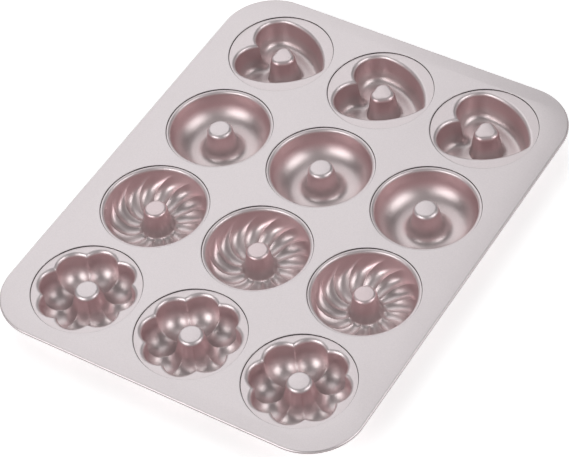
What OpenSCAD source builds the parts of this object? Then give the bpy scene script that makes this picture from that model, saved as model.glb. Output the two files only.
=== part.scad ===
/* [Plate] */
// Width of the plate between two neighbouring recesses
land_w = 7; // [4:0.5:14]
// Width of the plate between the recesses and the long edges
long_margin = 16.5; // [10:0.5:22]
// Width of the plate between the recesses and the short edges
short_margin = 12.5; // [10:0.5:22]
// Radius of the plate's corners in plan
corner_r = 38; // [20:1:44]
// Thickness of the pressed steel sheet
sheet = 0.8; // [0.6:0.1:1.0]
// Inner radius of the bend where the edge is folded under
hem_bend_r = 0.4; // [0.3:0.1:0.6]
// Width of the strip that is folded under
hem_w = 5; // [3:0.5:8]

/* [Cups] */
// Width of the flat band between the widest cup's lip and the step round it
band_w = 0.3; // [0.2:0.1:3]
// Depth of that shallow round step
step_h = 0.6; // [0.3:0.1:0.7]
// Depth of a cup, from the top of the plate to its floor
cup_depth = 22.5; // [20:0.5:24]
// Radius of the rounded lip of a cup
lip_r = 1.5; // [1.2:0.1:1.6]
// Radius of the bend at the top of the middle post
shoulder_r = 1.5; // [1.2:0.1:2.0]
// Diameter of the post at its top
post_top_d = 16; // [14:0.5:17]
// Diameter of the post at its foot
post_foot_d = 21.5; // [20:0.5:23]

/* [Plain ring] */
// Radius of a plain cup where its lip begins
ring_mouth_r = 35.3; // [33:0.1:35.5]
// Radius of the curve from the wall to the floor
ring_wall_r = 17; // [14:0.5:17.5]
// Radius of the curve from the floor to the post
ring_foot_r = 6; // [4:0.5:7]
// Depth of the top of the post below the plate
ring_post_drop = 0.7; // [0.5:0.1:3]

/* [Swirl] */
// Number of flutes round a swirl cup
flute_count = 14; // [10:1:16]
// Depth of a flute as a share of its width
flute_share = 0.17; // [0.1:0.01:0.2]
// Angle that a flute turns through on its way up the wall
flute_sweep = 38; // [20:1:45]
// Radius of a swirl cup where its lip begins
swirl_mouth_r = 35; // [33:0.1:35.5]
// Radius of the curve from the wall to the floor
swirl_wall_r = 18; // [15:0.5:18.5]
// Depth of the ridges between the flutes on the floor
ridge_depth = 21; // [18:0.5:21.5]
// Share of the way up a flute at which it begins to fade
fade_from = 0.58; // [0.4:0.02:0.6]
// Share of the way up a flute at which it has faded out
fade_to = 0.9; // [0.8:0.02:0.92]
// Depth of the top of the post below the plate
swirl_post_drop = 2.2; // [1:0.1:4]

/* [Flower] */
// Number of petals round a flower cup
petal_count = 8; // [6:1:9]
// Radius of the bowl of one petal
petal_r = 12.6; // [12:0.1:13.5]
// Distance from the centre of the cup to the centre of a petal
petal_out = 21; // [20:0.1:22]
// Depth of the top of the post below the plate
flower_post_drop = 0.7; // [0.5:0.1:3]

/* [Heart] */
// Radius of the two round lobes of the heart
lobe_r = 16.8; // [15:0.1:17.5]
// Distance of a lobe's centre behind the centre of the cup
lobe_back = 11; // [10:0.1:12]
// Distance of a lobe's centre from the heart's middle line
lobe_side = 14.3; // [13:0.1:15]
// Radius of the rounded tip
tip_r = 3; // [2:0.5:5]
// Distance of the tip from the centre of the cup
tip_out = 35.2; // [33:0.1:36]
// Radius of the bowed flanks between a lobe and the tip
flank_r = 50; // [45:1:80]
// Radius of the heart's rounded lip
heart_lip_r = 2.5; // [1.2:0.1:2.7]
// Radius of the curve from the wall to the floor
heart_wall_r = 7; // [4:0.5:7]
// How far the wall leans in from the lip to the floor curve
heart_draft = 1.5; // [0.5:0.1:1.5]
// Distance of the nose of the three-cornered post from the centre of the cup
post_nose = 10.9; // [10:0.1:11.5]
// Distance of the flat back of the post from the centre of the cup
post_back = 5.8; // [5.2:0.1:6]
// Half of the width of the post's back
post_half = 9.1; // [8:0.1:9.5]
// Radius of the post's upright corners
post_corner_r = 5; // [3:0.1:5.2]
// How far the sides of the post lean out from its shoulder to its foot
post_lean = 2.6; // [1:0.1:2.7]
// Radius of the curve from the post to the floor
heart_foot_r = 2.5; // [1.6:0.1:2.6]
// Depth of the top of the post below the plate
heart_post_drop = 1.7; // [0.5:0.1:3]

/* [Hidden] */

columns = 3;
rows = 4;
ring_reach = ring_mouth_r + lip_r;
swirl_reach = swirl_mouth_r + lip_r;
flower_reach = petal_out + petal_r + lip_r;
heart_reach = heart_lip_r + max(tip_out, lobe_r + norm([lobe_back, lobe_side]));
recess_r = band_w + max(ring_reach, swirl_reach, flower_reach, heart_reach);
pitch = 2 * recess_r + land_w;
plate_l = (rows - 1) * pitch + 2 * (recess_r + short_margin);
plate_w = (columns - 1) * pitch + 2 * (recess_r + long_margin);
plate_z = cup_depth + sheet;
hem_out_r = hem_bend_r + sheet;
fold_overlap = sheet;
edge_fn = 96;
cup_fn = 120;
rose = [0.80, 0.72, 0.73];

// Turn of each flower and each swirl in its row, from the column at the left
flower_turns = [35, 39.5, 38];
swirl_turns = [7.5, 0, 0.5];

// Points along an arc in the plane of a section
function arc(cx, cz, r, from, to, parts) =
    [for (k = [0 : parts]) let (a = from + (to - from) * k / parts) [cx + r * cos(a), cz + r * sin(a)]];

function flipped(list) = [for (k = [len(list) - 1 : -1 : 0]) list[k]];

function smooth(x) = let (t = max(0, min(1, x))) t * t * (3 - 2 * t);

// Section of a cup from the recess edge, over the lip, down the wall and along the floor.
// grow is 0 for the upper face of the sheet and its thickness for the lower face.
function wall_line(mouth, wall_r, depth, grow, lip_parts, wall_parts) = concat(
    [[recess_r + fold_overlap, -step_h - grow]],
    arc(mouth + lip_r, -step_h - lip_r, lip_r - grow, 90, 180, lip_parts),
    arc(mouth - wall_r, wall_r - depth, wall_r + grow, 360, 270, wall_parts));

// Section of the middle post from the floor up to the middle of its top
function post_line(top_r, foot_r, bend, depth, drop, grow, foot_parts, shoulder_parts) =
    let (lean = atan2(foot_r - top_r, depth - bend - drop - shoulder_r)) concat(
        arc(foot_r + bend, bend - depth, bend + grow, 270, 180 + lean, foot_parts),
        arc(top_r - shoulder_r, -drop - shoulder_r, shoulder_r - grow, lean, 90, shoulder_parts));

// Closed skin between an upper and a lower grid of points; each grid is a list of rings,
// from the outside in. With closed true both grids end in a point in the middle.
module skin(upper, lower, closed) {
    n = len(upper[0]);
    m = len(upper);
    points = concat([for (ring = upper) each ring], [for (ring = lower) each ring],
        closed ? [mean(upper[m - 1]), mean(lower[m - 1])] : []);
    low = m * n;
    top_mid = 2 * m * n;
    low_mid = top_mid + 1;
    faces = concat(
        [for (i = [0 : m - 2], k = [0 : n - 1]) let (a = i * n + k, b = i * n + (k + 1) % n)
            each [[a, a + n, b], [b, a + n, b + n]]],
        [for (i = [0 : m - 2], k = [0 : n - 1]) let (a = low + i * n + k, b = low + i * n + (k + 1) % n)
            each [[a, b, a + n], [b, b + n, a + n]]],
        [for (k = [0 : n - 1]) let (k2 = (k + 1) % n) each [[k, k2, low + k], [k2, low + k2, low + k]]],
        closed
            ? [for (k = [0 : n - 1]) let (a = (m - 1) * n, k2 = (k + 1) % n)
                each [[a + k, top_mid, a + k2], [low + a + k2, low_mid, low + a + k]]]
            : [for (k = [0 : n - 1]) let (a = (m - 1) * n, k2 = (k + 1) % n)
                each [[a + k, low + a + k, a + k2], [a + k2, low + a + k, low + a + k2]]]);
    polyhedron(points, faces);
}

function mean(ring) = [0, 0, [for (p = ring) 1] * [for (p = ring) p[2]] / len(ring)];

// Turns sections, one for each angle, into rings of points round the cup
function rings(sections, angles) =
    [for (i = [0 : len(sections[0]) - 1])
        [for (k = [0 : len(angles) - 1]) let (p = sections[k][i])
            [p[0] * cos(angles[k]), p[0] * sin(angles[k]), p[1]]]];

function even_angles(n) = [for (k = [0 : n - 1]) 360 * k / n];

module plain_cup() {
    function line(grow) = concat(
        wall_line(ring_mouth_r, ring_wall_r, cup_depth, grow, 4, 9),
        post_line(post_top_d / 2, post_foot_d / 2, ring_foot_r, cup_depth, ring_post_drop, grow, 6, 4),
        [[0, -ring_post_drop - grow]]);
    rotate_extrude($fn = cup_fn)
        polygon(concat(line(0), flipped(line(sheet))));
}

// The post alone, with its foot let into the floor of the cup
module post(drop, depth) {
    function line(grow) = concat(
        [[post_foot_d / 2 + fold_overlap - grow, -depth - 0.8 * sheet]],
        arc(post_top_d / 2 - shoulder_r, -drop - shoulder_r, shoulder_r - grow, 0, 90, 4),
        [[0, -drop - grow]]);
    rotate_extrude($fn = cup_fn)
        polygon(concat(line(0), flipped(line(sheet))));
}

// Flutes turn as they climb: the turn grows with the square of the way up
module swirl_cup() {
    foot_r = post_foot_d / 2 + fold_overlap / 2;
    floor_out = swirl_mouth_r - swirl_wall_r;
    floor_l = floor_out - foot_r;
    wall_l = swirl_wall_r * PI / 2;
    way_l = floor_l + wall_l;
    per_flute = 3;
    wall_parts = 4;
    function way(k) = floor_l + wall_l * (1 - k / wall_parts);
    function turn(way) = -flute_sweep * pow(way / way_l, 2);
    function fade(way) = 1 - smooth((way / way_l - fade_from) / (fade_to - fade_from));
    function foot_fade(way) = (1 + smooth(way / floor_l)) / 2;
    function hollow(r, way, t) =
        flute_share * 2 * PI * r / flute_count * fade(way) * foot_fade(way) * 4 * t * (1 - t);
    function fluted(p, dir, way, k, t) = let (
            deep = hollow(p[0], way, t),
            r = p[0] + deep * dir[0],
            a = 360 * k / (flute_count * per_flute) + turn(way))
        [r * cos(a), r * sin(a), p[1] + deep * dir[1]];
    function grid(grow) = let (
            edge = wall_line(swirl_mouth_r, swirl_wall_r, ridge_depth, grow, 1, wall_parts),
            line = concat(edge, [[foot_r, -ridge_depth - grow]]),
            dirs = concat([[0, 0], [0, 0], [0, 0]], arc(0, 0, 1, 360, 270, wall_parts), [[0, -1]]),
            ways = concat([way_l, way_l, way_l], [for (k = [0 : wall_parts]) way(k)], [0]))
        [for (i = [0 : len(line) - 1])
            [for (k = [0 : flute_count * per_flute - 1])
                fluted(line[i], dirs[i], ways[i], k, (k % per_flute) / per_flute)]];
    skin(grid(0), grid(sheet), false);
    post(swirl_post_drop, ridge_depth);
}

// Each petal is a round bowl; a section through the post cuts it in a circle
module flower_cup() {
    per_petal = 4;
    angles = even_angles(petal_count * per_petal);
    petal_z = cup_depth - petal_r;
    function off_axis(a) = let (w = 360 / petal_count) (a + w / 2) % w - w / 2;
    function section(a, grow) = let (
            t = off_axis(a),
            mid = petal_out * cos(t),
            bowl = sqrt(pow(petal_r, 2) - pow(petal_out * sin(t), 2)))
        concat(
            wall_line(mid + bowl, bowl, petal_z + bowl, grow, 1, 3),
            post_line(post_top_d / 2, post_foot_d / 2, mid - post_foot_d / 2,
                petal_z + bowl, flower_post_drop, grow, 2, 1));
    function grid(grow) = rings([for (a = angles) section(a, grow)], angles);
    skin(grid(0), grid(sheet), true);
}

// The heart's outline is a chain of arcs: lobe, flank, tip. Its wall is the same section all the
// way round, measured in from the outline, and its post's side is measured out from the post.
module heart_cup() {
    half_n = 13;
    crowd = 14;
    lobe = [-lobe_back, lobe_side];
    tip = [tip_out - tip_r, 0];
    cleft = [-lobe_back - sqrt(pow(lobe_r, 2) - pow(lobe_side, 2)), 0];
    span = norm(tip - lobe);
    lobe_arm = flank_r - lobe_r;
    tip_arm = flank_r - tip_r;
    along = (pow(lobe_arm, 2) - pow(tip_arm, 2) + pow(span, 2)) / (2 * span);
    unit = (tip - lobe) / span;
    flank = lobe + along * unit + sqrt(pow(lobe_arm, 2) - pow(along, 2)) * [unit[1], -unit[0]];
    function turn_of(v) = atan2(v[1], v[0]);
    lobe_turn = turn_of(lobe - flank);
    tip_turn = turn_of(tip - flank);
    cleft_turn = 360 + turn_of(cleft - lobe);
    corners = [
        [post_nose - post_corner_r, 0],
        [post_corner_r - post_back, post_half - post_corner_r],
        [post_corner_r - post_back, post_corner_r - post_half]];

    // Angles round the cup, closer together at the tip and at the cleft
    angles = [for (k = [0 : 2 * half_n - 1]) 180 * k / half_n - crowd * sin(360 * k / half_n)];

    // Distance of a point from the outline, positive inside the heart
    function inside_by(q) = let (p = [q[0], abs(q[1])], turn = turn_of(p - flank))
        turn < tip_turn ? tip_r - norm(p - tip)
        : turn < lobe_turn ? flank_r - norm(p - flank)
        : (turn_of(p - lobe) + 360) % 360 > cleft_turn ? norm(p - cleft)
        : lobe_r - norm(p - lobe);

    // Distance of a point from a side of the triangle between the centres of the post's corners
    function from_side(p, a, b) = let (t = max(0, min(1, (p - a) * (b - a) / ((b - a) * (b - a)))))
        norm(p - a - t * (b - a));
    function is_left(p, a, b) = (b[0] - a[0]) * (p[1] - a[1]) > (b[1] - a[1]) * (p[0] - a[0]);

    // Distance of a point from the post, positive outside it
    function outside_by(p) = let (
            sides = [for (k = [0 : 2]) [corners[k], corners[(k + 1) % 3]]],
            gap = min([for (s = sides) from_side(p, s[0], s[1])]),
            within = is_left(p, sides[0][0], sides[0][1]) && is_left(p, sides[1][0], sides[1][1])
                && is_left(p, sides[2][0], sides[2][1]))
        (within ? -gap : gap) - post_corner_r;

    // Radius at which the ray at angle a crosses a level of one of the two distances
    function wall_r_at(level, a, near, far, tries) = let (mid = (near + far) / 2)
        tries == 0 ? mid
        : inside_by(mid * [cos(a), sin(a)]) > level ? wall_r_at(level, a, mid, far, tries - 1)
        : wall_r_at(level, a, near, mid, tries - 1);
    function post_r_at(level, a, near, far, tries) = let (mid = (near + far) / 2)
        tries == 0 ? mid
        : outside_by(mid * [cos(a), sin(a)]) < level ? post_r_at(level, a, mid, far, tries - 1)
        : post_r_at(level, a, near, mid, tries - 1);

    // Sections as [distance, height], from the lip to the floor and from the floor to the post's top
    function wall(grow) = concat(
        arc(-heart_lip_r, -step_h - heart_lip_r, heart_lip_r - grow, 90, 0, 1),
        arc(heart_draft + heart_wall_r, heart_wall_r - cup_depth, heart_wall_r + grow, 180, 270, 3));
    function side(grow) = concat(
        arc(post_lean + heart_foot_r, heart_foot_r - cup_depth, heart_foot_r + grow, 270, 180, 2),
        arc(-shoulder_r, -heart_post_drop - shoulder_r, shoulder_r - grow, 0, 90, 1));
    function ring(radii, z) = [for (k = [0 : len(angles) - 1])
        [radii[k] * cos(angles[k]), radii[k] * sin(angles[k]), z]];
    function grid(grow) = concat(
        [ring([for (a = angles) recess_r + fold_overlap], -step_h - grow)],
        [for (p = wall(grow)) ring([for (a = angles) wall_r_at(p[0], a, 0, 2 * recess_r, 24)], p[1])],
        [for (p = side(grow)) ring([for (a = angles) post_r_at(p[0], a, 0, recess_r, 24)], p[1])]);
    skin(grid(0), grid(sheet), true);
}

// Flat plate with a round hole over each recess, out to where the hem begins
module plate() {
    inset = corner_r;
    translate([0, 0, -sheet]) linear_extrude(sheet) difference() {
        union() {
            square([plate_w - 2 * inset, plate_l - 2 * hem_w], center = true);
            square([plate_w - 2 * hem_w, plate_l - 2 * inset], center = true);
            for (x = [-1, 1], y = [-1, 1])
                translate([x * (plate_w / 2 - inset), y * (plate_l / 2 - inset)])
                    circle(r = corner_r - hem_w, $fn = edge_fn);
        }
        for (i = [0 : columns - 1], j = [0 : rows - 1])
            translate(cup_at(i, j)) circle(r = recess_r, $fn = cup_fn);
    }
}

// Section of the folded edge: x runs outwards from the line where the hem begins
module hem_section() {
    bend_x = hem_w - hem_out_r;
    translate([-fold_overlap, -sheet]) square([bend_x + fold_overlap, sheet]);
    translate([sheet, -2 * hem_out_r]) square([bend_x - sheet, sheet]);
    difference() {
        translate([bend_x, -hem_out_r]) circle(r = hem_out_r, $fn = 32);
        translate([bend_x, -hem_out_r]) circle(r = hem_bend_r, $fn = 32);
        translate([bend_x - 2 * hem_out_r, -2 * hem_out_r]) square([2 * hem_out_r, 2 * hem_out_r]);
    }
}

module hem() {
    straight_x = plate_w - 2 * corner_r;
    straight_y = plate_l - 2 * corner_r;
    for (side = [0, 1]) rotate([0, 0, 180 * side]) {
        translate([plate_w / 2 - hem_w, straight_y / 2, 0])
            rotate([90, 0, 0]) linear_extrude(straight_y) hem_section();
        translate([-straight_x / 2, plate_l / 2 - hem_w, 0])
            rotate([90, 0, 90]) linear_extrude(straight_x) hem_section();
        translate([plate_w / 2 - corner_r, plate_l / 2 - corner_r, 0])
            rotate_extrude(angle = 90, $fn = edge_fn) translate([corner_r - hem_w, 0]) hem_section();
        translate([corner_r - plate_w / 2, plate_l / 2 - corner_r, 0]) rotate([0, 0, 90])
            rotate_extrude(angle = 90, $fn = edge_fn) translate([corner_r - hem_w, 0]) hem_section();
    }
}

function cup_at(i, j) = [(i - (columns - 1) / 2) * pitch, ((rows - 1) / 2 - j) * pitch];

// Row 0 lies at the far side: hearts, plain rings, swirls and flowers, row by row
module cups() {
    for (i = [0 : columns - 1]) {
        translate(cup_at(i, 0)) heart_cup();
        translate(cup_at(i, 1)) plain_cup();
        translate(cup_at(i, 2)) rotate([0, 0, swirl_turns[i]]) swirl_cup();
        translate(cup_at(i, 3)) rotate([0, 0, flower_turns[i] + 180 / petal_count]) flower_cup();
    }
}

module pan() {
    color(rose) translate([0, 0, plate_z]) {
        plate();
        hem();
        cups();
    }
}

pan();
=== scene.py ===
# %% [markdown]
# # A pressed steel doughnut pan
# The real pan is one thin steel sheet. A press forms twelve ring-shaped cups in it, each with a
# post in the middle, and the edge is folded under so that no cut steel touches a hand.
# The solid model comes first, as a fixed frame. The finer skin that is modelled here stands for it,
# so everything below keeps to its sizes.

# %% Load the frame
import math

import bmesh
import bpy
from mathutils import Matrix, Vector


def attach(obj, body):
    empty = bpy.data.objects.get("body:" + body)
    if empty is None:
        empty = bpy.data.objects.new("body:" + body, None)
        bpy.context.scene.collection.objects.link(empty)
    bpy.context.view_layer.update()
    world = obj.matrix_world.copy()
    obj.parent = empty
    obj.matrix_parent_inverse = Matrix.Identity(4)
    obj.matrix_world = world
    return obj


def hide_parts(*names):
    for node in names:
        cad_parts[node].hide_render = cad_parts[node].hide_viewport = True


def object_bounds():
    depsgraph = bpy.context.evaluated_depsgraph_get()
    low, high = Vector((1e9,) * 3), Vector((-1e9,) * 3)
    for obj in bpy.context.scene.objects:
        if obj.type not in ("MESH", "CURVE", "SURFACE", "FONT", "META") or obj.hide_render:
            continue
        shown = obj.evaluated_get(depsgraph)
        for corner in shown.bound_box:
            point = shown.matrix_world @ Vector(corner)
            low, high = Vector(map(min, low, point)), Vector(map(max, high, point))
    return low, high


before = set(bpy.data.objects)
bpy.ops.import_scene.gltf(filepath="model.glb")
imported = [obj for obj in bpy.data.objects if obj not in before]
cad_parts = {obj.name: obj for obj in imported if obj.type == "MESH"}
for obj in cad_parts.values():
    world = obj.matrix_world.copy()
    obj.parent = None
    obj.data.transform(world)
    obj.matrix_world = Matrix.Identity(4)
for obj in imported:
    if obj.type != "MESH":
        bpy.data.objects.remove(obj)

cad_low, cad_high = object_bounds()
MM = 0.001
plate_top = cad_high.z
pan_width = cad_high.x - cad_low.x
pan_length = cad_high.y - cad_low.y
print("frame:", len(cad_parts), "node,",
      round(pan_width / MM), "x", round(pan_length / MM), "mm")

# %% [markdown]
# ## Where the cups sit
# The cups stand on a square grid, three across and four deep. From the far side the rows are
# hearts, plain rings, swirls and flowers. Every cup is drawn in millimetres about its own centre,
# with height 0 at the top of the plate, and one helper turns that into the pan's own place.

# %% Set out the grid
pitch = 83.0
sheet = 0.8
cup_depth = 22.5


def cup_centre(column, row):
    return ((column - 1) * pitch, (1.5 - row) * pitch)


def at(x, y, z):
    return Vector((x * MM, y * MM, plate_top + z * MM))


print("first cup at", cup_centre(0, 0), "last cup at", cup_centre(2, 3))

# %% [markdown]
# ## Sections drawn with arcs
# A die maker draws a cup as a section: straight lines joined by arcs. Each section here is a list
# of points (distance from the middle, height), from the plate inwards. It steps down into the
# shallow recess, crosses the flat band, rolls over the lip, and goes down the wall. Close rows of
# points on both sides of a bend keep the flat parts flat when the surface is shaded smooth.

# %% Draw the recess and the lip
recess_r = 38.0
step_h = 0.8
lip_r = 1.9


def arc(x, z, r, start, end, steps):
    turns = [math.radians(start + (end - start) * k / steps) for k in range(steps + 1)]
    return [(x + r * math.cos(a), z + r * math.sin(a)) for a in turns]


def recess_points():
    return [(recess_r + 0.7, 0.0), (recess_r + 0.25, 0.0), (recess_r + 0.05, -0.15),
            (recess_r, -step_h + 0.1), (recess_r - 0.1, -step_h), (recess_r - 0.65, -step_h)]


def lip_points(mouth, bend=lip_r):
    before_bend = 0.1
    return ([(mouth + bend + before_bend, -step_h)]
            + arc(mouth + bend, -step_h - bend, bend, 90, 180, 5))


print("recess section:", len(recess_points()), "points, lip:", len(lip_points(recess_r)), "points")

# %% [markdown]
# The post in the middle of a cup is an arc at its foot, a leaning side, and an arc at its shoulder.
# How far the side leans follows from the two radii and the height that is left between the arcs.

# %% Draw the post
post_drop = 0.7


def post_points(top_r, foot_r, bend, depth, shoulder):
    lean = math.degrees(math.atan2(foot_r - top_r, depth - bend - post_drop - shoulder))
    return (arc(foot_r + bend, bend - depth, bend, 270, 180 + lean, 5)
            + arc(top_r - shoulder, -post_drop - shoulder, shoulder, lean, 90, 4))


print("round posts end", post_drop, "mm under the plate's top")

# %% [markdown]
# ## Rolling a flat grid into a cup
# A grid of squares is a good start for anything round. One side of the grid runs round the cup,
# the other runs from the plate to the middle of the post. Every corner of the grid is moved to its
# place, then merging the doubles closes the seam and the pole. The mesh stays four-sided nearly
# everywhere, which is what a smooth pressed surface needs.

# %% Roll a grid
def roll_grid(name, across, around, place):
    bpy.ops.object.select_all(action="DESELECT")
    bpy.ops.mesh.primitive_grid_add(x_subdivisions=across, y_subdivisions=around, size=1)
    cup = bpy.context.object
    cup.name = name
    for corner in cup.data.vertices:
        ring = round((corner.co.x + 0.5) * across)
        step = round((corner.co.y + 0.5) * around) % around
        corner.co = place(ring, step)
    bpy.ops.object.mode_set(mode="EDIT")
    bpy.ops.mesh.select_all(action="SELECT")
    bpy.ops.mesh.remove_doubles(threshold=1e-6)
    bpy.ops.object.mode_set(mode="OBJECT")
    print(name, "has", len(cup.data.polygons), "faces")
    return cup


def on_circle(r, degrees, z):
    a = math.radians(degrees)
    return at(r * math.cos(a), r * math.sin(a), z)


# %% [markdown]
# ## The plain ring
# The plain cup is a turned shape, so one section serves all the way round: the lip, a quarter
# circle for the wall, a smaller arc into the post, and the post's rounded shoulder.

# %% Make the plain ring
round_mouth_r = 35.3
ring_wall_r = 17
ring_floor_r = 18.3
ring_post_top_r, ring_post_foot_r, ring_foot_bend, ring_shoulder = 9.0, 10.9, 7, 3.0
ring_section = (recess_points() + lip_points(round_mouth_r)
                + arc(ring_floor_r, ring_wall_r - cup_depth, ring_wall_r, 360, 270, 10)
                + post_points(ring_post_top_r, ring_post_foot_r, ring_foot_bend, cup_depth,
                              ring_shoulder)
                + [(0, -post_drop)])
ring_around = 72


def ring_place(ring, step):
    r, z = ring_section[ring]
    return on_circle(r, 360 * step / ring_around, z)


plain_ring = roll_grid("plain_ring", len(ring_section) - 1, ring_around, ring_place)

# %% [markdown]
# ## The swirl
# Fourteen hollow flutes wind up the wall, with a sharp ridge between each two. The ridges lie on
# a turned section, and each flute is pushed out from it along the section's normal, deepest in its
# middle. Each row of the section is noted with its normal and with its way from the post, because
# the flutes' depth and turn both depend on how far along the wall they have come.

# %% Draw the swirl's section
swirl_depth = 21.0
swirl_foot_r = 11.7
swirl_wall_r, swirl_wall_in, swirl_steep = 22.0, 13.8, math.radians(78)
swirl_floor = swirl_wall_in - swirl_foot_r
swirl_way = swirl_floor + swirl_wall_r * swirl_steep
wall_rows, floor_rows = 12, 4
foot_gap = 0.5


def swirl_rows():
    rows = [(r, z, 0, 0, swirl_way) for r, z in recess_points() + lip_points(round_mouth_r)]
    for k in range(wall_rows):
        a = swirl_steep * (1 - k / wall_rows)
        rows.append((swirl_wall_in + swirl_wall_r * math.sin(a),
                     swirl_wall_r * (1 - math.cos(a)) - swirl_depth,
                     math.sin(a), -math.cos(a), swirl_floor + swirl_wall_r * a))
    for k in range(floor_rows):
        rows.append((swirl_wall_in - k * (swirl_floor - foot_gap) / (floor_rows - 1),
                     -swirl_depth, 0, -1, swirl_floor * (1 - k / (floor_rows - 1))))
    return rows


swirl_section = swirl_rows()
swirl_post = ([(11.35, -20.6), (11.0, -19.6), (10.2, -16.0), (9.0, -10.0)]
              + arc(5.6, -4.8, 2.6, 12, 90, 5))
swirl_top = -2.2
print("swirl section:", len(swirl_section), "rows and", len(swirl_post), "on its post")

# %% [markdown]
# The turn grows with the square of the way up, so the flutes leave the post straight and sweep
# over as they climb. They start shallow at the foot and fade out below the lip. Where a ridge meets
# the post, the post's foot reaches out to it like a short finger. A small rounding keeps the ridges
# from being knife edges, which a press can't make.

# %% Make the swirl
flute_count = 14
flute_share = 0.19
flute_sweep = 38.0
flute_steps = [0, 0.035, 0.1, 0.2, 0.35, 0.5, 0.65, 0.8, 0.9, 0.965]
fade_from, fade_over = 0.58, 0.32
foot_share = 0.35
ridge_rounding = 0.03
ridge_narrowing = 0.6
finger_w, finger_way, finger_rows = 0.8, 2.5, 2


def ease(x):
    x = max(0.0, min(1.0, x))
    return x * x * (3 - 2 * x)


def hollow_of(t):
    return ((math.sqrt((4 * t * (1 - t)) ** 2 + ridge_rounding ** 2) - ridge_rounding)
            / (1 - ridge_rounding))


def ridge_of(t):
    return 1 - (4 * t * (1 - t)) ** ridge_narrowing


def swirl_place(ring, step):
    flute, t = divmod(step, len(flute_steps))
    t = flute_steps[t]
    base = 360 * (flute + t) / flute_count
    if ring >= len(swirl_section):
        k = ring - len(swirl_section)
        if k >= len(swirl_post):
            return at(0, 0, swirl_top)
        r, z = swirl_post[k]
        finger = ridge_of(t) * max(0, 1 - k / finger_rows) * finger_w
        return on_circle(r + finger, base, z)
    r, z, out, up, way = swirl_section[ring]
    if out == 0 and up == 0:
        deep = 0
    else:
        fade = 1 - ease((way - fade_from * swirl_way) / (fade_over * swirl_way))
        foot = foot_share + (1 - foot_share) * ease(way / swirl_floor)
        deep = flute_share * 2 * math.pi * r / flute_count * fade * foot * hollow_of(t)
    finger = ridge_of(t) * finger_w * max(0, 1 - way / finger_way)
    turn = -flute_sweep * (way / swirl_way) ** 2
    return on_circle(r + deep * out + finger, base + turn, z + deep * up)


swirl = roll_grid("swirl", len(swirl_section) + len(swirl_post),
                  flute_count * len(flute_steps), swirl_place)

# %% [markdown]
# ## The flower
# Each of the eight petals is a round bowl. A section through the post cuts a bowl in a circle whose
# size depends on how far the cut is from the petal's middle, so every section is again made of
# arcs. Between two petals the bowls meet in a crease, which a press always leaves a little round.

# %% Make the flower
petal_count = 8
petal_turn = 360 / petal_count
petal_r = 12.6
petal_out = 21.0
petal_steps = [0, 0.8, 2.2, 4.8, 9, 14.3, 19.8, 25.2, 30.7, 36, 40.2, 42.8, 44.2]
flower_lip_r = 3.0
flower_post_top_r, flower_post_foot_r, flower_shoulder = 8.8, 10.75, 2.8
crease_soft = 1.0


def petal_section(from_crease):
    half = petal_turn / 2
    s = min(from_crease, petal_turn - from_crease)
    rounded = ((math.hypot(s, crease_soft) - crease_soft) * half
               / (math.hypot(half, crease_soft) - crease_soft))
    t = math.radians(half - rounded)
    mid = petal_out * math.cos(t)
    bowl = math.sqrt(petal_r ** 2 - (petal_out * math.sin(t)) ** 2)
    depth = cup_depth - petal_r + bowl
    return (recess_points() + lip_points(mid + bowl, flower_lip_r)
            + arc(mid, bowl - depth, bowl, 360, 270, 8)
            + post_points(flower_post_top_r, flower_post_foot_r, mid - flower_post_foot_r, depth,
                          flower_shoulder)
            + [(0, -post_drop)])


petal_sections = [petal_section(s) for s in petal_steps]


def flower_place(ring, step):
    petal, k = divmod(step, len(petal_steps))
    r, z = petal_sections[k][ring]
    return on_circle(r, petal_turn * petal + petal_steps[k], z)


flower = roll_grid("flower", len(petal_sections[0]) - 1, petal_count * len(petal_steps),
                   flower_place)

# %% [markdown]
# ## The heart
# The heart's outline is a chain of arcs: two round lobes, two bowed flanks and a rounded tip. Its
# wall is the same section all the way round, measured straight in from the outline. A flank touches
# both the lobe and the tip, so its centre lies at the difference of the radii from each of their
# centres, and two arcs join on the line through their centres.

# %% Measure from the heart's outline
lobe_r, lobe_back, lobe_side = 16.4, 11.0, 14.3
tip_r, tip_out, flank_r = 3.4, 34.2, 50.0
lobe = Vector((-lobe_back, lobe_side))
tip = Vector((tip_out - tip_r, 0))
span = (tip - lobe).length
along = ((flank_r - lobe_r) ** 2 - (flank_r - tip_r) ** 2 + span ** 2) / (2 * span)
unit = (tip - lobe) / span
aside = math.sqrt((flank_r - lobe_r) ** 2 - along ** 2)
flank = lobe + along * unit + aside * Vector((unit.y, -unit.x))
lobe_join = math.atan2(*(lobe - flank).yx)
tip_join = math.atan2(*(tip - flank).yx)
cleft = Vector((-lobe_back - math.sqrt(lobe_r ** 2 - lobe_side ** 2), 0))


def inside_by(x, y):
    p = Vector((x, abs(y)))
    turn = math.atan2(*(p - flank).yx)
    if turn < tip_join:
        return tip_r - (p - tip).length
    if turn < lobe_join:
        return flank_r - (p - flank).length
    low = math.atan2(*(cleft - lobe).yx) % (2 * math.pi)
    if math.atan2(*(p - lobe).yx) % (2 * math.pi) > low:
        return (p - cleft).length
    return lobe_r - (p - lobe).length


print("cleft at", round(cleft.x, 1), "mm, middle of a lobe is inside by",
      round(inside_by(*lobe), 1), "mm")

# %% [markdown]
# The post of the heart has three soft corners. It is a small triangle grown by a radius, so its
# side is measured out from the triangle. Each ring of the mesh follows a line of equal distance,
# from the outline or from the post, and that line is found by halving along rays from the middle.

# %% Measure from the heart's post
post_corners = [Vector((4.1, 0)), Vector((0.2, 2.8)), Vector((0.2, -2.8))]
post_round = 6.5
post_shoulder = 3.2
halvings = 26


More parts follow.
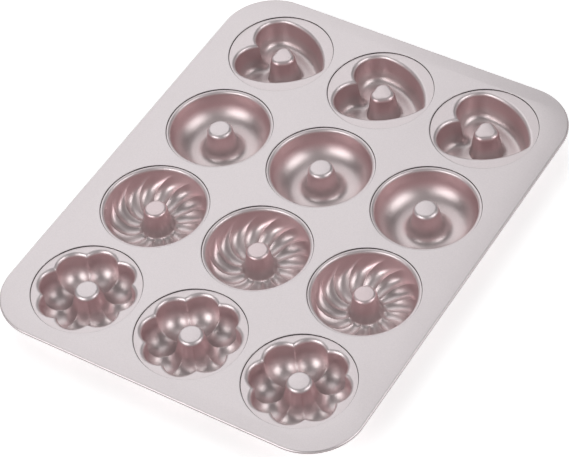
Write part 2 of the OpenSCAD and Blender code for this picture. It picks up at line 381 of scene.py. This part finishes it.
def outside_by(x, y):
    p = Vector((x, y))
    best, inside = 1e9, True
    for k in range(3):
        a, b = post_corners[k], post_corners[(k + 1) % 3]
        ab, ap = b - a, p - a
        t = max(0, min(1, ap.dot(ab) / ab.length_squared))
        best = min(best, (ap - t * ab).length)
        inside = inside and ab.x * ap.y - ab.y * ap.x > 0
    return (-best if inside else best) - post_round


def where(measure, level, degrees, near, far):
    x, y = math.cos(math.radians(degrees)), math.sin(math.radians(degrees))
    rising = measure(far * x, far * y) > measure(near * x, near * y)
    for _ in range(halvings):
        r = (near + far) / 2
        if (measure(r * x, r * y) > level) == rising:
            far = r
        else:
            near = r
    return near


print("a point 9.5 mm in front is outside the post by", round(outside_by(9.5, 0), 2), "mm")

# %% [markdown]
# The floor of the heart is where the wall's curve and the post's foot meet. Where the channel is
# narrow they meet above the full depth, so the height there is whichever of the two is higher,
# with the corner between them softened.

# %% Find the heart's heights
heart_wall_r, heart_draft, heart_foot_r, heart_drop = 7.0, 1.5, 2.5, 1.7
heart_lip_r = 2.7
heart_lean = 2.6
valley_soft = 1.2
wall_foot = heart_draft + heart_wall_r
post_foot = heart_lean + heart_foot_r
post_rise = cup_depth - heart_foot_r - heart_drop - post_shoulder


def wall_height(d):
    if d < heart_draft:
        fall = cup_depth - heart_wall_r - step_h - heart_lip_r
        return -step_h - heart_lip_r - d / heart_draft * fall
    if d < wall_foot:
        return heart_wall_r - cup_depth - math.sqrt(heart_wall_r ** 2 - (wall_foot - d) ** 2)
    return -cup_depth


def side_height(e):
    if e < heart_lean:
        return -heart_drop - post_shoulder - post_rise * e / heart_lean
    if e < post_foot:
        return heart_foot_r - cup_depth - math.sqrt(heart_foot_r ** 2 - (post_foot - e) ** 2)
    return -cup_depth


def floor_height(x, y):
    a, b = wall_height(inside_by(x, y)), side_height(outside_by(x, y))
    k = max(0.0, valley_soft - abs(a - b)) / valley_soft
    return max(a, b) + k * k * valley_soft / 4


print("a lobe's floor lies at", round(floor_height(-lobe_back, lobe_side), 1), "mm")

# %% [markdown]
# A ring of the heart's mesh is a distance from the outline or from the post, with its height, and
# None where the height is the floor's. Between the last ring of the wall and the first of the post,
# the floor is filled with rings at even shares of the way. The rings close at the middle of the
# post's top, which lies a little towards the tip.

# %% Make the heart
outline_levels = ([(-heart_lip_r - 0.1, -step_h)]
                  + arc(-heart_lip_r, -step_h - heart_lip_r, heart_lip_r, 90, 0, 6)
                  + [(d, None) for d in (0.75, 1.5, 2.0, 3.2)])
shoulder_turns = (0, 0.4, 0.8, 1.2, math.pi / 2)
post_levels = [(e, None) for e in (3.4, 2.6, 1.3)] + [
    (post_shoulder * (math.cos(a) - 1), -heart_drop - post_shoulder * (1 - math.sin(a)))
    for a in shoulder_turns]
post_middle = 1.0
outline_reach, post_reach = (12, 40), (0.5, 30)
floor_steps = 8
heart_around = 108


def heart_place(ring, step):
    degrees = 360 * step / heart_around
    x, y = math.cos(math.radians(degrees)), math.sin(math.radians(degrees))
    edge = recess_points()
    if ring < len(edge):
        return on_circle(edge[ring][0], degrees, edge[ring][1])
    ring -= len(edge)
    if ring < len(outline_levels):
        d, z = outline_levels[ring]
        r = where(inside_by, d, degrees, *outline_reach)
        return on_circle(r, degrees, floor_height(r * x, r * y) if z is None else z)
    ring -= len(outline_levels)
    if ring < floor_steps:
        outer = where(inside_by, outline_levels[-1][0], degrees, *outline_reach)
        inner = where(outside_by, post_levels[0][0], degrees, *post_reach)
        r = outer + (inner - outer) * (ring + 1) / (floor_steps + 1)
        return on_circle(r, degrees, floor_height(r * x, r * y))
    ring -= floor_steps
    if ring < len(post_levels):
        e, z = post_levels[ring]
        r = where(outside_by, e, degrees, *post_reach)
        return on_circle(r, degrees, floor_height(r * x, r * y) if z is None else z)
    return at(post_middle, 0, -heart_drop)


heart_rings = len(recess_points()) + len(outline_levels) + floor_steps + len(post_levels)
heart = roll_grid("heart", heart_rings, heart_around, heart_place)

# %% [markdown]
# ## Three of each
# Each cup is modelled once. Its copies get meshes of their own, a turn where the real ones differ,
# and a place in the grid, and then the place is applied so that every object's origin is the pan's.

# %% Copy the cups into their rows
turns = {"heart": [0, 0, 0], "plain_ring": [0, 0, 0],
         "swirl": [7.5, 0, 0.5], "flower": [35, 39.5, 38]}
skins = []
for row, first in enumerate([heart, plain_ring, swirl, flower]):
    for column, turn in enumerate(turns[first.name]):
        skin = first
        if column:
            skin = first.copy()
            skin.data = first.data.copy()
            bpy.context.collection.objects.link(skin)
        skins.append((skin, row, column, turn))
for skin, row, column, turn in skins:
    x, y = cup_centre(column, row)
    skin.rotation_euler.z = math.radians(turn)
    skin.location = (x * MM, y * MM, 0)
bpy.ops.object.select_all(action="DESELECT")
for skin, *_ in skins:
    skin.select_set(True)
bpy.context.view_layer.objects.active = skins[0][0]
bpy.ops.object.transform_apply(location=True, rotation=True, scale=True)
print(len(skins), "cups in place")

# %% [markdown]
# ## The folded edge
# The edge starts as a slab as thick as the fold. Bevelling its upright edges gives the corners in
# plan, and bevelling its top and bottom edges gives the round of the fold. The bottom is inset by
# the width of the folded strip and opened, and the top is opened for the plate with its cups.
# Faces and edges are picked by their place and direction, as a hand would pick them in the window.

# %% Add a slab and a way to pick its sides
corner_r = 38.0
hem_out_r = 1.2
hem_w = 5.0
bpy.ops.object.select_all(action="DESELECT")
bpy.ops.mesh.primitive_cube_add(size=1, location=(0, 0, plate_top - hem_out_r * MM))
edge = bpy.context.object
edge.name = "folded_edge"
edge.scale = (pan_width, pan_length, 2 * hem_out_r * MM)
bpy.ops.object.transform_apply(location=True, rotation=True, scale=True)


def choose(mesh_object, faces=None, edges=None):
    bpy.ops.object.mode_set(mode="EDIT")
    bm = bmesh.from_edit_mesh(mesh_object.data)
    bpy.ops.mesh.select_all(action="DESELECT")
    for face in bm.faces:
        if faces and faces(face):
            face.select_set(True)
    for side in bm.edges:
        if edges and edges(side):
            side.select_set(True)
    bm.select_flush_mode()
    bmesh.update_edit_mesh(mesh_object.data)


print("slab is", round(2 * hem_out_r, 1), "mm thick")

# %% Model the fold
broad_area = 0.01
facing_up, facing_out = 0.99, 0.1


def upright(side):
    return abs(side.verts[0].co.z - side.verts[1].co.z) > MM


def round_the_rim(side):
    level = abs(side.verts[0].co.z - side.verts[1].co.z) < 1e-6
    lifts = [abs(face.normal.z) for face in side.link_faces]
    return level and max(lifts) > facing_up and min(lifts) < facing_out


bpy.ops.object.mode_set(mode="EDIT")
bpy.ops.mesh.select_mode(type="EDGE")
choose(edge, edges=upright)
bpy.ops.mesh.bevel(offset=corner_r * MM, segments=20, affect="EDGES")
choose(edge, edges=round_the_rim)
bpy.ops.mesh.bevel(offset=(hem_out_r - 0.001) * MM, segments=6, affect="EDGES")
bpy.ops.mesh.select_mode(type="FACE")
choose(edge, faces=lambda f: f.normal.z < -facing_up and f.calc_area() > broad_area)
bpy.ops.mesh.inset(thickness=(hem_w - hem_out_r) * MM)
choose(edge, faces=lambda f: abs(f.normal.z) > facing_up and f.calc_area() > broad_area)
bpy.ops.mesh.delete(type="FACE")
bpy.ops.mesh.select_all(action="SELECT")
bpy.ops.mesh.remove_doubles(threshold=5e-6)
bpy.ops.object.mode_set(mode="OBJECT")
print("folded edge has", len(edge.data.polygons), "faces")

# %% [markdown]
# ## One sheet
# The cups and the edge are joined, and the flat plate is filled in between their open rims. Then
# all the faces are turned to point up and out, because the next step builds downwards from them.

# %% Join and fill
bpy.ops.object.select_all(action="DESELECT")
for skin, *_ in skins:
    skin.select_set(True)
edge.select_set(True)
bpy.context.view_layer.objects.active = edge
bpy.ops.object.join()
pan = bpy.context.object
pan.name = "pan_sheet"
bpy.ops.object.mode_set(mode="EDIT")
bpy.ops.mesh.select_mode(type="EDGE")
open_rim = plate_top - 0.01 * MM
choose(pan, edges=lambda s: s.is_boundary and min(v.co.z for v in s.verts) > open_rim)
bpy.ops.mesh.fill(use_beauty=False)
bpy.ops.mesh.select_all(action="SELECT")
bpy.ops.mesh.normals_make_consistent(inside=False)
bpy.ops.object.mode_set(mode="OBJECT")
widest = max(pan.data.polygons, key=lambda f: f.area)
if widest.normal.z < 0:
    pan.data.flip_normals()
print("sheet has", len(pan.data.polygons), "faces, plate points",
      "up" if widest.normal.z > 0 else "down, now turned")

# %% [markdown]
# The Solidify modifier gives the sheet its thickness on the underside, fold included. Even offset
# keeps the steel as thick in the bends as on the flat. It works best where the bends are rounder
# than the sheet is thick, and so the lips of the cups and the shoulders of the posts are.

# %% Give the sheet its thickness
wall = pan.modifiers.new("sheet_thickness", "SOLIDIFY")
wall.thickness = sheet * MM
wall.offset = -1
wall.use_even_offset = True
wall.use_quality_normals = True
bpy.ops.object.select_all(action="DESELECT")
pan.select_set(True)
bpy.context.view_layer.objects.active = pan
bpy.ops.object.modifier_apply(modifier=wall.name)
bpy.ops.object.shade_smooth_by_angle(angle=math.radians(50))
pan.data.calc_loop_triangles()
print("pan has", len(pan.data.loop_triangles), "triangles")

# %% [markdown]
# ## The coating
# The steel wears a baked coating, a champagne rose with metal flakes in it, and it shines like
# satin. So the shader is mostly metallic, under a thin clear coat. The flakes are a fine noise in
# the bump, and a broad noise makes the gloss slightly uneven. All patterns read Object coordinates,
# so they stay with the mesh.

# %% Mix the coating
coating = bpy.data.materials.new("rose_champagne_coating")
coating.use_nodes = True
nodes, links = coating.node_tree.nodes, coating.node_tree.links
shader = nodes["Principled BSDF"]
shader.inputs["Metallic"].default_value = 0.85
shader.inputs["Coat Weight"].default_value = 0.25
shader.inputs["Coat Roughness"].default_value = 0.25


def add_step(kind, values, **settings):
    step = nodes.new("ShaderNode" + kind)
    for name, setting in settings.items():
        setattr(step, name, setting)
    for socket, value in values.items():
        step.inputs[socket].default_value = value
    return step


pan_place = nodes.new("ShaderNodeTexCoord")
flakes = add_step("TexNoise", {"Scale": 1400, "Detail": 2})
links.new(pan_place.outputs["Object"], flakes.inputs["Vector"])
flake_bump = add_step("Bump", {"Strength": 0.08, "Distance": 0.0002})
links.new(flakes.outputs["Fac"], flake_bump.inputs["Height"])
links.new(flake_bump.outputs["Normal"], shader.inputs["Normal"])
cloud = add_step("TexNoise", {"Scale": 28, "Detail": 3})
links.new(pan_place.outputs["Object"], cloud.inputs["Vector"])
gloss = add_step("MapRange", {"To Min": 0.38, "To Max": 0.43})
links.new(cloud.outputs["Fac"], gloss.inputs["Value"])
links.new(gloss.outputs["Result"], shader.inputs["Roughness"])
print("gloss runs from", round(gloss.inputs["To Min"].default_value, 2), "to",
      round(gloss.inputs["To Max"].default_value, 2))

# %% [markdown]
# The coating itself is one champagne rose. It looks nearly silver on the flat plate, rosy on the
# walls of the cups, which mirror each other and deepen the colour, and paler again on their floors.
# A colour ramp on the height, from the cup floors to the plate, paints these tones in. The ramp is
# painted reflection, not a change in the coating. The flakes then speckle it a little.

# %% Paint the reflection tone by height
height = nodes.new("ShaderNodeSeparateXYZ")
links.new(pan_place.outputs["Object"], height.inputs["Vector"])
rise = add_step("MapRange", {"From Min": plate_top - cup_depth * MM, "From Max": plate_top})
links.new(height.outputs["Z"], rise.inputs["Value"])
# Painted reflection: the ramp's colours stand for the light in the cups, not for the coating's
# colour.
painted_reflection_tone = nodes.new("ShaderNodeValToRGB")
painted_reflection_tone.color_ramp.elements[0].color = (0.72, 0.630, 0.630, 1)
painted_reflection_tone.color_ramp.elements[1].color = (0.73, 0.670, 0.679, 1)
for level, colour in ((0.25, (0.69, 0.590, 0.592, 1)), (0.50, (0.71, 0.518, 0.530, 1)),
                      (0.84, (0.70, 0.505, 0.517, 1)), (0.92, (0.73, 0.640, 0.648, 1))):
    painted_reflection_tone.color_ramp.elements.new(level).color = colour
links.new(rise.outputs["Result"], painted_reflection_tone.inputs["Fac"])
sparkle = add_step("Mix", {"Factor": 0.15}, data_type="RGBA", blend_type="MULTIPLY")
links.new(painted_reflection_tone.outputs["Color"], sparkle.inputs["A"])
links.new(flakes.outputs["Fac"], sparkle.inputs["B"])
print("tone has", len(painted_reflection_tone.color_ramp.elements), "levels")

# %% [markdown]
# Each cup's recess shows as a fine dark line, the steep side of a step under a millimetre high,
# which
# lies in shade. The line is painted shade: to paint it, the material measures how far a point is
# from the nearest cup's centre. It works in pitches: rounding gives the number of the nearest cup,
# which is held inside the grid, so that no circle appears where there is no cup. The row centres
# lie on half pitches, hence the half added.

# %% Measure from the nearest cup
def add_vector_step(operation, source, *values):
    step = add_step("VectorMath", {k + 1: value for k, value in enumerate(values)},
                    operation=operation)
    links.new(source, step.inputs[0])
    return step


per_pitch = 1 / (pitch * MM)
in_pitches = add_vector_step("MULTIPLY_ADD", pan_place.outputs["Object"],
                             (per_pitch, per_pitch, 0), (0, 0.5, 0))
half_on = add_vector_step("ADD", in_pitches.outputs["Vector"], (0.5, 0.5, 0))
whole = add_vector_step("FLOOR", half_on.outputs["Vector"])
not_over = add_vector_step("MINIMUM", whole.outputs["Vector"], (1, 2, 0))
nearest_cup = add_vector_step("MAXIMUM", not_over.outputs["Vector"], (-1, -1, 0))
from_centre = add_vector_step("SUBTRACT", in_pitches.outputs["Vector"])
links.new(nearest_cup.outputs["Vector"], from_centre.inputs[1])
radius = add_vector_step("LENGTH", from_centre.outputs["Vector"])
print("a pitch is", pitch, "mm")

# %% [markdown]
# A compare step is 1 in a thin band at the recess and 0 elsewhere, so it can mix in a dark colour,
# the painted shade of the line.

# %% Paint shade into the recess line
crease_in, crease_half = 0.13, 0.19
# The painted shade of the recess line: a dark band mixed into the colour.
crease = add_step("Math", {1: (recess_r - crease_in) / pitch, 2: crease_half / pitch},
                  operation="COMPARE")
links.new(radius.outputs["Value"], crease.inputs[0])
shade = add_step("Mix", {"B": (0.05, 0.035, 0.035, 1)}, data_type="RGBA")
links.new(crease.outputs["Value"], shade.inputs["Factor"])
links.new(sparkle.outputs["Result"], shade.inputs["A"])
print("recess line is", 2 * crease_half, "mm wide")

# %% [markdown]
# The round side of the fold looks darker than the plate, since it faces the dim sides of the
# studio, so a darker tone, painted shade, is mixed in for it. It is told from the cups' walls,
# which pass through the same heights, by being over half a pitch from every cup's centre.

# %% Paint shade on the side of the fold
half_pitch = 0.5
fold_shade_from, fold_shade_full = 0.3, 1.1
off_cups = add_step("Math", {1: half_pitch}, operation="GREATER_THAN")
links.new(radius.outputs["Value"], off_cups.inputs[0])
fold_side = add_step("MapRange", {"From Min": plate_top - fold_shade_from * MM,
                                  "From Max": plate_top - fold_shade_full * MM, "To Max": 0.85})
links.new(height.outputs["Z"], fold_side.inputs["Value"])
fold_shade_mask = add_step("Math", {}, operation="MULTIPLY")
links.new(off_cups.outputs["Value"], fold_shade_mask.inputs[0])
links.new(fold_side.outputs["Result"], fold_shade_mask.inputs[1])
# The painted shade on the side of the fold.
painted_fold_shade = add_step("Mix", {"B": (0.20, 0.165, 0.17, 1)}, data_type="RGBA")
links.new(fold_shade_mask.outputs["Value"], painted_fold_shade.inputs["Factor"])
links.new(shade.outputs["Result"], painted_fold_shade.inputs["A"])
links.new(painted_fold_shade.outputs["Result"], shader.inputs["Base Color"])
pan.data.materials.clear()
pan.data.materials.append(coating)
print("coating has", len(nodes), "nodes")

# %% [markdown]
# ## In the frame
# The finished sheet rides on the pan's one body and is shown in place of the solid.

# %% Hand the sheet to the frame
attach(pan, "root")
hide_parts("pan")
print(pan.name, "stands for the solid")

# %% [markdown]
# ## The floor
# The floor is white paper. It glows faintly, because the ground of a product photo is lit until
# it is quite white. It lies half a millimetre low, so it never cuts the cups' undersides.

# %% Set the floor
bpy.ops.object.select_all(action="DESELECT")
bpy.ops.mesh.primitive_plane_add(size=8, location=(0, 0, -0.5 * MM))
floor = bpy.context.object
floor.name = "floor"
paper = bpy.data.materials.new("white_paper")
paper.use_nodes = True
paper_shader = paper.node_tree.nodes["Principled BSDF"]
paper_shader.inputs["Base Color"].default_value = (0.93, 0.93, 0.93, 1)
paper_shader.inputs["Roughness"].default_value = 0.9
paper_shader.inputs["Emission Color"].default_value = (1, 1, 1, 1)
paper_shader.inputs["Emission Strength"].default_value = 0.45
floor.data.materials.append(paper)
print("floor set")

# %% [markdown]
# ## The lamps
# Four broad soft lamps, as in a product photo. The plate works like a dull mirror, so the lamp
# behind the pan, which the camera sees in it, sets how bright the plate looks. The two lamps at the
# sides give each cup its two soft highlights, and a weak one overhead fills the cups.

# %% Hang the lamps
def lamp(name, place, size, watts, tone=(1, 1, 1)):
    light = bpy.data.lights.new(name, "AREA")
    light.shape = "RECTANGLE"
    light.size, light.size_y = size
    light.energy = watts
    light.color = tone
    softbox = bpy.data.objects.new(name, light)
    bpy.context.collection.objects.link(softbox)
    softbox.location = place
    softbox.rotation_euler = (-Vector(place)).to_track_quat("-Z", "Y").to_euler()


lamp("back_softbox", (-0.97, 0.88, 1.42), (1.8, 1.9), 12.0, (0.98, 0.99, 1.0))
lamp("top_softbox", (-0.15, 0.2, 1.75), (1.6, 0.9), 1.5)
lamp("left_softbox", (-0.46, -1.45, 0.98), (1.3, 1.0), 15)
lamp("right_softbox", (1.40, 0.24, 1.10), (1.3, 1.0), 12)
bpy.context.scene.view_settings.view_transform = "Standard"
print("lamps hung")

# %% [markdown]
# The studio's walls are pale low down, where the paper rolls up behind the pan, and dim above. So
# the world fades from nearly white at the horizon to a dark grey overhead.

# %% Paint the studio round it
world = bpy.data.worlds.new("studio")
bpy.context.scene.world = world
world.use_nodes = True
studio_nodes, studio_links = world.node_tree.nodes, world.node_tree.links
facing = studio_nodes.new("ShaderNodeTexCoord")
upward = studio_nodes.new("ShaderNodeSeparateXYZ")
studio_links.new(facing.outputs["Generated"], upward.inputs["Vector"])
fade = studio_nodes.new("ShaderNodeMapRange")
fade.inputs["From Min"].default_value = 0.12
fade.inputs["From Max"].default_value = 0.40
fade.inputs["To Min"].default_value = 0.75
fade.inputs["To Max"].default_value = 0.14
studio_links.new(upward.outputs["Z"], fade.inputs["Value"])
studio_links.new(fade.outputs["Result"], studio_nodes["Background"].inputs["Strength"])
studio_nodes["Background"].inputs["Color"].default_value = (1, 1, 1, 1)
print("studio painted")

# %% [markdown]
# ## The camera
# The camera stands high and far, with a long lens, so that the rows stay nearly parallel. Its place
# and turn come from fitting the pan's outline and its cups to the photo.

# %% Stand the camera
eye = bpy.data.cameras.new("camera")
eye.lens = 149.73
eye.clip_end = 20
camera = bpy.data.objects.new("camera", eye)
bpy.context.collection.objects.link(camera)
camera.location = (0.644899, -0.867887, 1.214590)
camera.rotation_euler = [math.radians(a) for a in (41.48343, 4.87620, 31.40237)]
bpy.context.scene.camera = camera
print("camera at", [round(v, 3) for v in camera.location])
